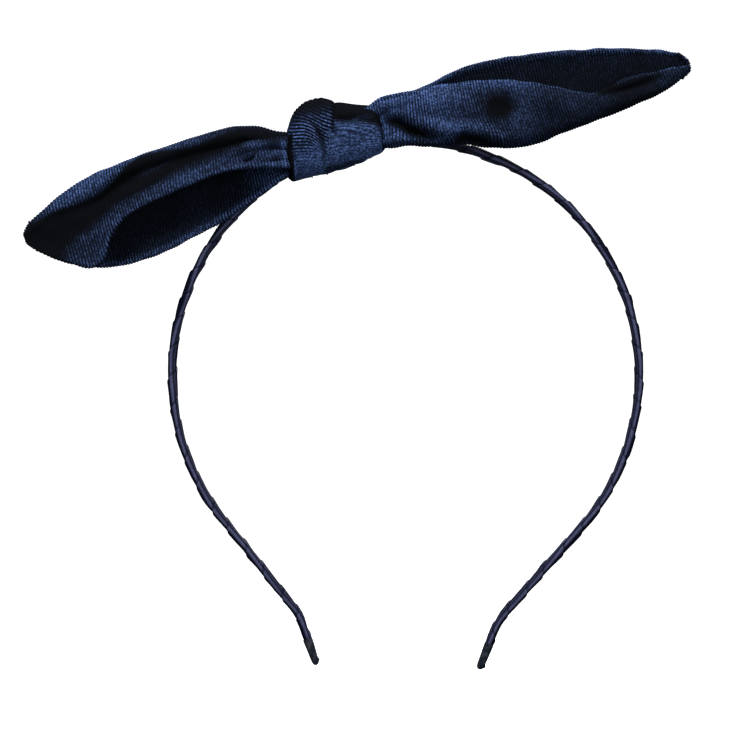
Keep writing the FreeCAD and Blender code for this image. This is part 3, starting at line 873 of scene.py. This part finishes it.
def knot_turn(name, shape, look, material, sizes, seed, columns=72):
    """One turn of the velvet strip round the band, closed at both ends by its turned-in edges."""
    pitch = sizes.knot_cord_pitch / MM
    first, last = shape["ends"]
    fold = shape["fold"]
    turned_in = 6
    body = np.linspace(first, last, columns)
    place = np.concatenate([np.full(turned_in, first), body, np.full(turned_in, last)])
    inward = np.linspace(0.25, 0.90, turned_in)
    edge = np.minimum(body - first, last - body)
    curl = np.sqrt(np.clip(1 - (1 - np.clip(edge / fold, 0, 1)) ** 2, 0, 1))
    shrink = np.concatenate([inward, 0.92 + 0.08 * curl, inward[::-1]])[:, None]
    low, high = follow(shape["low"], place)[:, None], follow(shape["high"], place)[:, None]
    deep = follow(shape["deep"], place)[:, None]
    girth_radius = pitch * round(8.5 * 2 * math.pi / pitch) / (2 * math.pi)
    around = round(2 * math.pi * girth_radius / pitch) * 6
    angle = np.linspace(math.pi, -math.pi, around, endpoint=False)[None, :]
    cos, sin = np.cos(angle), np.sin(angle)
    roundness = np.where(sin > 0, 2 / shape["upper_power"], 2 / shape["lower_power"])
    up_at = (high + low) / 2 + (high - low) / 2 * shrink * squarish(sin, roundness)
    deep_at = -deep * shrink * squarish(cos, roundness)
    along_at = place[:, None] + shape["lean"] * (up_at - 4.0)
    facing = ease(2.0, -2.0, deep_at)
    for crease in shape["creases"]:
        deep_at = deep_at + facing * press(crease["path"], crease["half"], crease["depth"], along_at, up_at)
    centre, along, up = knot_axes()
    grid = centre + along_at[..., None] * along + up_at[..., None] * up
    grid[..., 1] = deep_at
    face_out = loop_normals(grid)
    arc_at = np.broadcast_to(angle * girth_radius, along_at.shape)
    place_at = np.broadcast_to(place[:, None], along_at.shape)
    phase, light, crisp = look(place_at, up_at, along_at, arc_at, facing)
    cords = cord_profile(phase + 0.5 * ripple(grid, 12, seed), pitch)
    crush = ripple(grid, 3.6, seed + 1)
    # Painted light and shade: the front side takes its look's painted light, a little lighter where it faces
    # less upward; the back side is painted lighter where it faces down.
    rise = face_out @ up
    back_side_painted_light = 0.25 + 0.35 * ease(0.8, -0.2, rise)
    tone = facing * light * (0.80 + 0.20 * ease(0.9, 0.2, rise)) + (1 - facing) * back_side_painted_light
    lift = sizes.cord_depth * 1.25 / MM * (cords - 0.5) * (0.35 + 0.65 * crisp)
    grid = grid + face_out * (lift + 0.14 * crush)[..., None]
    marks = {"cord": cords, "pile": np.clip(tone, 0.02, 1), "crisp": crisp}
    return loop_piece(name, grid, material, marks)


def under_strip(material, sizes):
    """The strip's flattened pass under the band, inside the knot's turns."""
    rows, columns = 150, 96
    half_length, half_depth, half_thick = 9.6, 6.2, 1.3
    place = np.linspace(-half_length, half_length, rows)[:, None]
    turn = np.linspace(0, 2 * math.pi, columns, endpoint=False)[None, :]
    roundness = 2 / 3.4
    cos, sin = np.cos(turn), np.sin(turn)
    taper = np.sqrt(np.clip(1 - np.abs(place / half_length) ** 4, 0.02, 1))
    lowest = follow([(-10, -4.2), (-4, -4.85), (4, -4.95), (10, -4.4)], place - 0.5)
    up_at = lowest + half_thick + half_thick * taper * squarish(cos, roundness)
    depth = half_depth * (0.8 + 0.2 * taper) * squarish(sin, roundness)
    centre, along, up = knot_axes()
    grid = centre + (place + 0 * turn)[..., None] * along + up_at[..., None] * up
    grid[..., 1] = depth
    face_out = loop_normals(grid)
    phase = grid[..., 1] + 0.6 * ripple(grid, 10, 61)
    cords = cord_profile(phase, sizes.knot_cord_pitch / MM)
    wrinkle = ripple(grid * np.array([1, 0.35, 1]), 3.0, 62)
    grid = grid + face_out * (sizes.cord_depth / MM * (cords - 0.5) + 0.12 * wrinkle)[..., None]
    marks = {"cord": cords, "pile": np.full(cords.shape, 0.4), "crisp": np.full(cords.shape, 0.6)}
    return loop_piece("velvet_under_band", grid, material, marks)


def tack_stitches(turns, material):
    """Four stitches that hold the knot to the ribbon, lying on the underside of its turns."""
    centre, along, up = knot_axes()
    surfaces = []
    for turn in turns:
        mesh = turn.data
        corners = [corner.co for corner in mesh.vertices]
        surfaces.append(BVHTree.FromPolygons(corners, [tuple(face.vertices) for face in mesh.polygons]))
    front, rear, radius, below = 1.4, 4.6, 0.22, 20.0
    runs = []
    for place in TACK_PLACES:
        run = []
        for depth in np.linspace(front, rear, 9):
            start = centre + place * along - below * up
            start[1] = depth
            hits = [surface.ray_cast(Vector(start * MM), Vector(up)) for surface in surfaces]
            reach = min(hit[3] for hit in hits if hit[0] is not None)
            run.append(start + reach / MM * up)
        run = np.array(run)
        run[1:-1] = (run[:-2] + run[1:-1] + run[2:]) / 3
        proud = (0.16 - 0.42 * np.abs(np.linspace(-1, 1, 9)) ** 4)[:, None]
        runs.append(thread_run(run - proud * up, radius))
    return thread_piece("knot_tack_thread", runs, material)


# ---- Materials -------------------------------------------------------------------------
class Number:
    """A shader socket that takes part in Python sums."""

    def __init__(self, shade, socket):
        self.shade = shade
        self.socket = socket

    def sum_with(self, operation, first, second=None):
        values = {0: first}
        if second is not None:
            values[1] = second
        return self.shade.node("ShaderNodeMath", {"operation": operation}, values).number(0)

    def __add__(self, other):
        return self.sum_with("ADD", self, other)

    def __radd__(self, other):
        return self.sum_with("ADD", other, self)

    def __sub__(self, other):
        return self.sum_with("SUBTRACT", self, other)

    def __rsub__(self, other):
        return self.sum_with("SUBTRACT", other, self)

    def __mul__(self, other):
        return self.sum_with("MULTIPLY", self, other)

    def __rmul__(self, other):
        return self.sum_with("MULTIPLY", other, self)

    def __pow__(self, other):
        return self.sum_with("POWER", self, other)

    def eased(self, low, high):
        """0 below low, 1 above high, and a smooth step between."""
        settings = {"interpolation_type": "SMOOTHSTEP", "clamp": True}
        made = self.shade.node("ShaderNodeMapRange", settings, {0: self, 1: low, 2: high, 3: 0.0, 4: 1.0})
        return made.number(0)


class Made:
    """A node just made, whose outputs are read as numbers or as they are."""

    def __init__(self, shade, node):
        self.shade = shade
        self.made = node

    def number(self, output):
        return Number(self.shade, self.made.outputs[output])


class Shade:
    """One material's nodes."""

    def __init__(self, name):
        self.material = bpy.data.materials.new(name)
        self.material.use_nodes = True
        self.tree = self.material.node_tree
        self.tree.nodes.clear()

    def node(self, kind, settings=None, inputs=None):
        """Adds a node: its settings first, and then the values or links of its sockets."""
        made = self.tree.nodes.new(kind)
        for key, value in (settings or {}).items():
            setattr(made, key, value)
        for key, value in (inputs or {}).items():
            socket = made.inputs[key]
            if isinstance(value, Number):
                self.tree.links.new(value.socket, socket)
            else:
                socket.default_value = value
        return Made(self, made)

    def mark(self, name):
        """A number kept on the mesh's points."""
        made = self.node("ShaderNodeAttribute", {"attribute_type": "GEOMETRY", "attribute_name": name})
        return made.number("Fac")

    def place(self):
        return self.node("ShaderNodeTexCoord").number("Object")

    def noise(self, size, detail=2.0, rough=0.55, stretch=(1, 1, 1)):
        """Noise between 0 and 1 whose lumps are about size across, in metres."""
        at = self.node("ShaderNodeVectorMath", {"operation": "MULTIPLY"}, {0: self.place(), 1: stretch})
        inputs = {"Vector": at.number("Vector"), "Scale": 1 / size, "Detail": detail, "Roughness": rough}
        return self.node("ShaderNodeTexNoise", {"noise_dimensions": "3D"}, inputs).number("Fac")

    def mix(self, share, first, second):
        """A colour between two others."""
        settings = {"data_type": "RGBA", "blend_type": "MIX", "clamp_factor": True}
        made = self.node("ShaderNodeMix", settings, {"Factor": share, 6: first, 7: second})
        return made.number(2)

    def bump(self, height, distance, strength):
        sockets = {"Strength": strength, "Distance": distance, "Height": height}
        made = self.node("ShaderNodeBump", None, sockets)
        return made.number("Normal")

    def finish(self, inputs):
        made = self.node("ShaderNodeBsdfPrincipled", None, inputs)
        self.node("ShaderNodeOutputMaterial", None, {"Surface": made.number("BSDF")})
        return self.material


def rgba(colour):
    return (*tuple(colour)[:3], 1.0)


def velvet_cloth(colours):
    """Ribbed stretch velvet: a deep ground, painted light and shade from the pile mark, painted shade between
    the cords, painted glints and a blue bloom.
    """
    shade = Shade("navy_ribbed_velvet")
    cord = shade.mark("cord")
    # The pile mark carries painted light and shade.
    pile = shade.mark("pile")
    crisp = shade.mark("crisp")
    mottle = shade.noise(0.0018, 3.0, 0.6)
    fibre = shade.noise(0.00022, 2.0, 0.6)
    patch = shade.noise(0.008, 2.0, 0.5)
    fleck = shade.noise(0.00055, 1.0, 0.5).eased(0.40, 0.66)
    # Painted shade in the grooves between the cords, as strong as the crisp mark.
    cord_groove_shade = 1 - crisp * (1 - cord**2)
    body = pile**1.5
    cloudy = (0.25 + 1.20 * mottle) * (0.50 + 0.95 * fleck) * (0.60 + 0.8 * patch)
    lit = 0.92 * body * cord_groove_shade * cloudy
    colour = shade.mix(lit, rgba(colours.velvet_dark), rgba(colours.velvet_painted_light))
    # Painted glints where the flecks fall on lit pile.
    glint = 0.42 * body * fleck * fleck * cord_groove_shade
    colour = shade.mix(glint, colour, rgba(colours.velvet_glint))
    height = 0.6 * fibre + 0.4 * mottle
    return shade.finish({
        "Base Color": colour,
        "Roughness": 0.86 - 0.16 * mottle,
        "Sheen Weight": 0.05,
        "Sheen Roughness": 0.30,
        "Sheen Tint": rgba(colours.velvet_bloom),
        "Specular IOR Level": 0.0,
        "Normal": shade.bump(height, 0.00016, 0.55),
    })


def satin_weave(colours):
    """Navy satin: fine crosswise threads, a painted highlight line, a soft gloss and a painted shadow under
    each lapped edge.
    """
    shade = Shade("navy_satin_ribbon")
    turn = shade.mark("turn")
    # This mark is a painted highlight along the band.
    wear_and_painted_sheen = shade.mark("wear_and_painted_sheen")
    streak = shade.noise(0.0012, 2.0, 0.5, (1, 6, 1))
    thread = shade.noise(0.00014, 2.0, 0.5)
    shadow = turn.eased(0.80, 1.0)
    lit = (0.06 + wear_and_painted_sheen * (0.45 + 0.7 * streak)) * (1 - 0.55 * shadow)
    colour = shade.mix(lit.eased(0.0, 1.1), rgba(colours.satin_dark), rgba(colours.satin_light))
    return shade.finish({
        "Base Color": colour,
        "Roughness": 0.42 + 0.18 * thread,
        "Specular IOR Level": 0.03,
        "Normal": shade.bump(0.5 * thread + 0.5 * streak, 0.00008, 0.4),
    })


def cap_vinyl(colours):
    shade = Shade("dark_vinyl_cap")
    grain = shade.noise(0.0003, 3.0, 0.6)
    scuff = shade.noise(0.0022, 3.0, 0.65)
    colour = shade.mix(scuff.eased(0.4, 0.75), rgba(colours.cap), (0.045, 0.048, 0.060, 1.0))
    return shade.finish({
        "Base Color": colour,
        "Roughness": 0.48 + 0.2 * grain,
        "Specular IOR Level": 0.05,
        "Normal": shade.bump(grain, 0.00006, 0.35),
    })


def sewing_thread(colours):
    shade = Shade("navy_thread")
    twist = shade.noise(0.0002, 2.0, 0.5, (1, 1, 3))
    colour = shade.mix(twist, rgba(colours.velvet_dark), rgba(colours.satin_light))
    return shade.finish({"Base Color": colour, "Roughness": 0.6, "Normal": shade.bump(twist, 0.0001, 0.5)})


def spring_steel():
    shade = Shade("brushed_spring_steel")
    brush = shade.noise(0.0008, 3.0, 0.6, (1, 12, 1))
    colour = shade.mix(brush, (0.33, 0.34, 0.36, 1.0), (0.52, 0.53, 0.55, 1.0))
    return shade.finish({"Base Color": colour, "Metallic": 1.0, "Roughness": 0.3 + 0.2 * brush})


def glue_film():
    shade = Shade("glue_film")
    cloud = shade.noise(0.002, 2.0, 0.5)
    colour = shade.mix(cloud, (0.72, 0.70, 0.62, 1.0), (0.85, 0.84, 0.78, 1.0))
    return shade.finish({"Base Color": colour, "Roughness": 0.25 + 0.15 * cloud})


def pale_paint(colours):
    shade = Shade("pale_stage")
    cloud = shade.noise(0.4, 2.0, 0.5)
    base = tuple(colours.stage)[:3]
    warm = tuple(0.985 * value for value in base)
    colour = shade.mix(cloud, (*base, 1.0), (*warm, 1.0))
    return shade.finish({
        "Base Color": colour,
        "Roughness": 0.9,
        "Specular IOR Level": 0.0,
        "Emission Color": (1.0, 1.0, 1.0, 1.0),
        "Emission Strength": 1.0,
    })


# ---- Settings --------------------------------------------------------------------------
class HeadbandSizes(bpy.types.PropertyGroup):
    cord_pitch: bpy.props.FloatProperty(
        name="Cord pitch", description="From one cord of the velvet to the next",
        default=0.00078, unit="LENGTH")
    knot_cord_pitch: bpy.props.FloatProperty(
        name="Knot cord pitch", description="Cord spacing where the knot stretches the strip",
        default=0.00086, unit="LENGTH")
    cord_depth: bpy.props.FloatProperty(
        name="Cord depth", description="Height of the velvet's cords", default=0.00022, unit="LENGTH")
    velvet_thick: bpy.props.FloatProperty(
        name="Velvet thickness", description="Both layers of a tail together", default=0.0013, unit="LENGTH")
    ribbon_pitch: bpy.props.FloatProperty(
        name="Ribbon pitch", description="From one turn of the satin to the next",
        default=0.0075, unit="LENGTH")
    ribbon_lap: bpy.props.FloatProperty(
        name="Ribbon lap", description="How far a lapped edge of the satin stands up",
        default=0.00028, unit="LENGTH")


class HeadbandColours(bpy.types.PropertyGroup):
    # Velvet ground is the velvet's deep colour and its painted shade, Velvet light its painted light, and
    # Velvet fleck the colour of its painted glints.
    velvet_dark: bpy.props.FloatVectorProperty(
        name="Velvet ground", description="Pile seen end on",
        default=(0.0034, 0.0038, 0.0050), subtype="COLOR")
    velvet_painted_light: bpy.props.FloatVectorProperty(
        name="Velvet light", description="Pile seen from the side",
        default=(0.054, 0.100, 0.262), subtype="COLOR")
    velvet_glint: bpy.props.FloatVectorProperty(
        name="Velvet fleck", description="Crushed pile that shines",
        default=(0.12, 0.19, 0.40), subtype="COLOR")
    velvet_bloom: bpy.props.FloatVectorProperty(
        name="Velvet bloom", description="Tint of the pile's sheen",
        default=(0.14, 0.19, 0.36), subtype="COLOR")
    # Satin shadow is the satin's ground and its painted shade; Satin light is its painted highlight.
    satin_dark: bpy.props.FloatVectorProperty(
        name="Satin shadow", description="Satin in its laps",
        default=(0.0010, 0.0016, 0.0085), subtype="COLOR")
    satin_light: bpy.props.FloatVectorProperty(
        name="Satin light", description="Satin where it catches the light",
        default=(0.072, 0.077, 0.150), subtype="COLOR")
    cap: bpy.props.FloatVectorProperty(
        name="End caps", description="Colour of the end caps", default=(0.006, 0.009, 0.016), subtype="COLOR")
    stage: bpy.props.FloatVectorProperty(
        name="Stage", description="Floor and backdrop", default=(0.93, 0.93, 0.93), subtype="COLOR")


FINISHES = {}


def finish_for(name, maker):
    if name not in FINISHES:
        FINISHES[name] = maker()
    return FINISHES[name]


# ---- Operators -------------------------------------------------------------------------
class HEADBAND_OT_stage(bpy.types.Operator):
    """Pale seamless floor and backdrop, soft lights and the camera"""
    bl_idname = "headband.stage"
    bl_label = "Stage, lights and camera"

    def execute(self, context):
        colours = context.scene.headband_colours
        floor, radius, corner, top = -190.0, 3600.0, 900.0, 3400.0
        steps, turns = 12, 64
        profile = [(0.0, floor), (radius - corner, floor)]
        for step in range(1, steps + 1):
            turn = math.radians(90 * step / steps)
            profile.append((radius - corner + corner * math.sin(turn), floor + corner * (1 - math.cos(turn))))
        profile.append((radius, top))
        points, faces = [], []
        for out, height in profile:
            for k in range(turns):
                turn = 2 * math.pi * k / turns
                points.append((out * math.cos(turn), out * math.sin(turn), height))
        for i in range(len(profile) - 1):
            for k in range(turns):
                after = (k + 1) % turns
                low, high = i * turns, (i + 1) * turns
                faces.append((low + k, low + after, high + after, high + k))
        sweep = make_piece("pale_sweep", points, faces, pale_paint(colours))
        sweep.visible_diffuse = False
        sweep.visible_glossy = False
        sweep.visible_shadow = False
        world = bpy.data.worlds.new("soft_room")
        world.use_nodes = True
        background = world.node_tree.nodes["Background"]
        background.inputs["Color"].default_value = (0.92, 0.96, 1.0, 1.0)
        background.inputs["Strength"].default_value = 0.22
        context.scene.world = world
        lights = (
            ("key_light", (-0.45, -0.85, 0.85), 0.5, 16.0),
            ("fill_light", (0.75, -0.95, 0.15), 0.6, 7.0),
            ("top_light", (0.05, -0.1, 0.95), 0.5, 8.0),
            ("back_light", (0.2, 0.9, 0.5), 0.6, 6.0),
        )
        for name, place, size, power in lights:
            lamp = bpy.data.lights.new(name, "AREA")
            lamp.size = size
            lamp.energy = power
            holder = bpy.data.objects.new(name, lamp)
            holder.location = place
            aim = Vector((0, 0, -0.05))
            holder.rotation_euler = (aim - Vector(place)).to_track_quat("-Z", "Y").to_euler()
            context.scene.collection.objects.link(holder)
        camera = bpy.data.cameras.new("front_camera")
        distance, view_width = 1.0, 0.2025
        aside, height, tilt = -0.00823, -0.06239, 1.52
        camera.lens = camera.sensor_width * distance / view_width
        camera.clip_end = 20.0
        holder = bpy.data.objects.new("front_camera", camera)
        holder.location = (aside, -distance, height)
        holder.rotation_mode = "XYZ"
        roll = math.radians(tilt)
        facing = Vector((0, 1, 0)).to_track_quat("-Z", "Z").to_matrix()
        right = Vector((math.cos(roll), 0, math.sin(roll)))
        above = Vector((-math.sin(roll), 0, math.cos(roll)))
        for row in range(3):
            facing[row][0] = right[row]
            facing[row][1] = above[row]
            facing[row][2] = (0, -1, 0)[row]
        holder.rotation_euler = facing.to_euler()
        context.scene.collection.objects.link(holder)
        context.scene.camera = holder
        context.scene.view_settings.view_transform = "Standard"
        return {"FINISHED"}


class HEADBAND_OT_band(bpy.types.Operator):
    """Spring steel strip and the satin ribbon wound round it"""
    bl_idname = "headband.band"
    bl_label = "Satin-wound band"

    def execute(self, context):
        sizes = context.scene.headband_sizes
        colours = context.scene.headband_colours
        satin = finish_for("satin", lambda: satin_weave(colours))
        steel = finish_for("steel", spring_steel)
        for side, word in SIDE_NAMES.items():
            ribbon = wound_ribbon(side, satin, sizes)
            flex_between(side, ribbon)
            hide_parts("ribbon_crown", "ribbon_arm_" + word, "ribbon_tuck_" + word)
            strip = spring_strip(side, steel)
            flex_between(side, strip)
            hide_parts("steel_crown", "steel_arm_" + word)
        return {"FINISHED"}


class HEADBAND_OT_caps(bpy.types.Operator):
    """Soft end caps on the tips"""
    bl_idname = "headband.caps"
    bl_label = "End caps"

    def execute(self, context):
        vinyl = finish_for("vinyl", lambda: cap_vinyl(context.scene.headband_colours))
        for side, word in SIDE_NAMES.items():
            cap = end_cap(side, vinyl)
            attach(cap, word + "_arm")
            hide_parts("tip_cap_" + word)
        return {"FINISHED"}


class HEADBAND_OT_tails(bpy.types.Operator):
    """Two folded velvet tails with frayed tips"""
    bl_idname = "headband.tails"
    bl_label = "Velvet tails"

    def execute(self, context):
        sizes = context.scene.headband_sizes
        velvet = finish_for("velvet", lambda: velvet_cloth(context.scene.headband_colours))
        thread = finish_for("thread", lambda: sewing_thread(context.scene.headband_colours))
        for side, word in SIDE_NAMES.items():
            body = word + "_tail"
            tail = velvet_tail(side, velvet, sizes)
            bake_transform(tail)
            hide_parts(word + "_tail_front", word + "_tail_back")
            stitches = seam_stitches(side, thread, sizes)
            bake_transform(stitches)
            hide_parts(word + "_tail_seam")
            fray = frayed_tip(side, velvet, 70 + side)
            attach(fray, body)
        return {"FINISHED"}


class HEADBAND_OT_knot(bpy.types.Operator):
    """The velvet knot round the band"""
    bl_idname = "headband.knot"
    bl_label = "Velvet knot"

    def execute(self, context):
        sizes = context.scene.headband_sizes
        velvet = finish_for("velvet", lambda: velvet_cloth(context.scene.headband_colours))
        wrap = knot_turn("velvet_knot_wrap", WRAP, wrap_look, velvet, sizes, 81)
        lobe = knot_turn("velvet_knot_lobe", LOBE, lobe_look, velvet, sizes, 91)
        under = under_strip(velvet, sizes)
        thread = finish_for("thread", lambda: sewing_thread(context.scene.headband_colours))
        tacks = tack_stitches((wrap, lobe, under), thread)
        for piece, node in ((wrap, "knot_wrap"), (lobe, "knot_lobe"), (under, "knot_underpass")):
            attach(piece, "crown")
            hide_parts(node)
        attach(tacks, "crown")
        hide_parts("knot_tack_stitches")
        return {"FINISHED"}


class HEADBAND_OT_hidden_parts(bpy.types.Operator):
    """Finishes of the glue and the knot's hidden core"""
    bl_idname = "headband.hidden_parts"
    bl_label = "Glue and core"

    def execute(self, context):
        colours = context.scene.headband_colours
        glue = finish_for("glue", glue_film)
        velvet = finish_for("velvet", lambda: velvet_cloth(colours))
        finishes = {
            "knot_glue_pad": glue,
            "knot_core": velvet,
        }
        for node, finish in finishes.items():
            for place in frame["nodes"][node].material_slots:
                place.link = "OBJECT"
                place.material = finish
        return {"FINISHED"}


class HEADBAND_PT_panel(bpy.types.Panel):
    """Lists the headband's pieces and settings"""
    bl_idname = "HEADBAND_PT_panel"
    bl_label = "Knotted headband"
    bl_space_type = "VIEW_3D"
    bl_region_type = "UI"
    bl_category = "Headband"

    def draw(self, context):
        for group in (context.scene.headband_sizes, context.scene.headband_colours):
            for key in group.bl_rna.properties.keys():
                if key not in ("rna_type", "name"):
                    self.layout.prop(group, key)
        for operator in OPERATORS:
            self.layout.operator(operator.bl_idname)


OPERATORS = (
    HEADBAND_OT_stage,
    HEADBAND_OT_band,
    HEADBAND_OT_caps,
    HEADBAND_OT_tails,
    HEADBAND_OT_knot,
    HEADBAND_OT_hidden_parts,
)
CLASSES = (HeadbandSizes, HeadbandColours, *OPERATORS, HEADBAND_PT_panel)


def register():
    for made in CLASSES:
        bpy.utils.register_class(made)
    bpy.types.Scene.headband_sizes = bpy.props.PointerProperty(type=HeadbandSizes)
    bpy.types.Scene.headband_colours = bpy.props.PointerProperty(type=HeadbandColours)


def unregister():
    del bpy.types.Scene.headband_colours
    del bpy.types.Scene.headband_sizes
    for made in reversed(CLASSES):
        bpy.utils.unregister_class(made)


def main():
    register()
    bpy.ops.headband.stage()
    bpy.ops.headband.band()
    bpy.ops.headband.caps()
    bpy.ops.headband.tails()
    bpy.ops.headband.knot()
    bpy.ops.headband.hidden_parts()


if __name__ == "__main__":
    main()
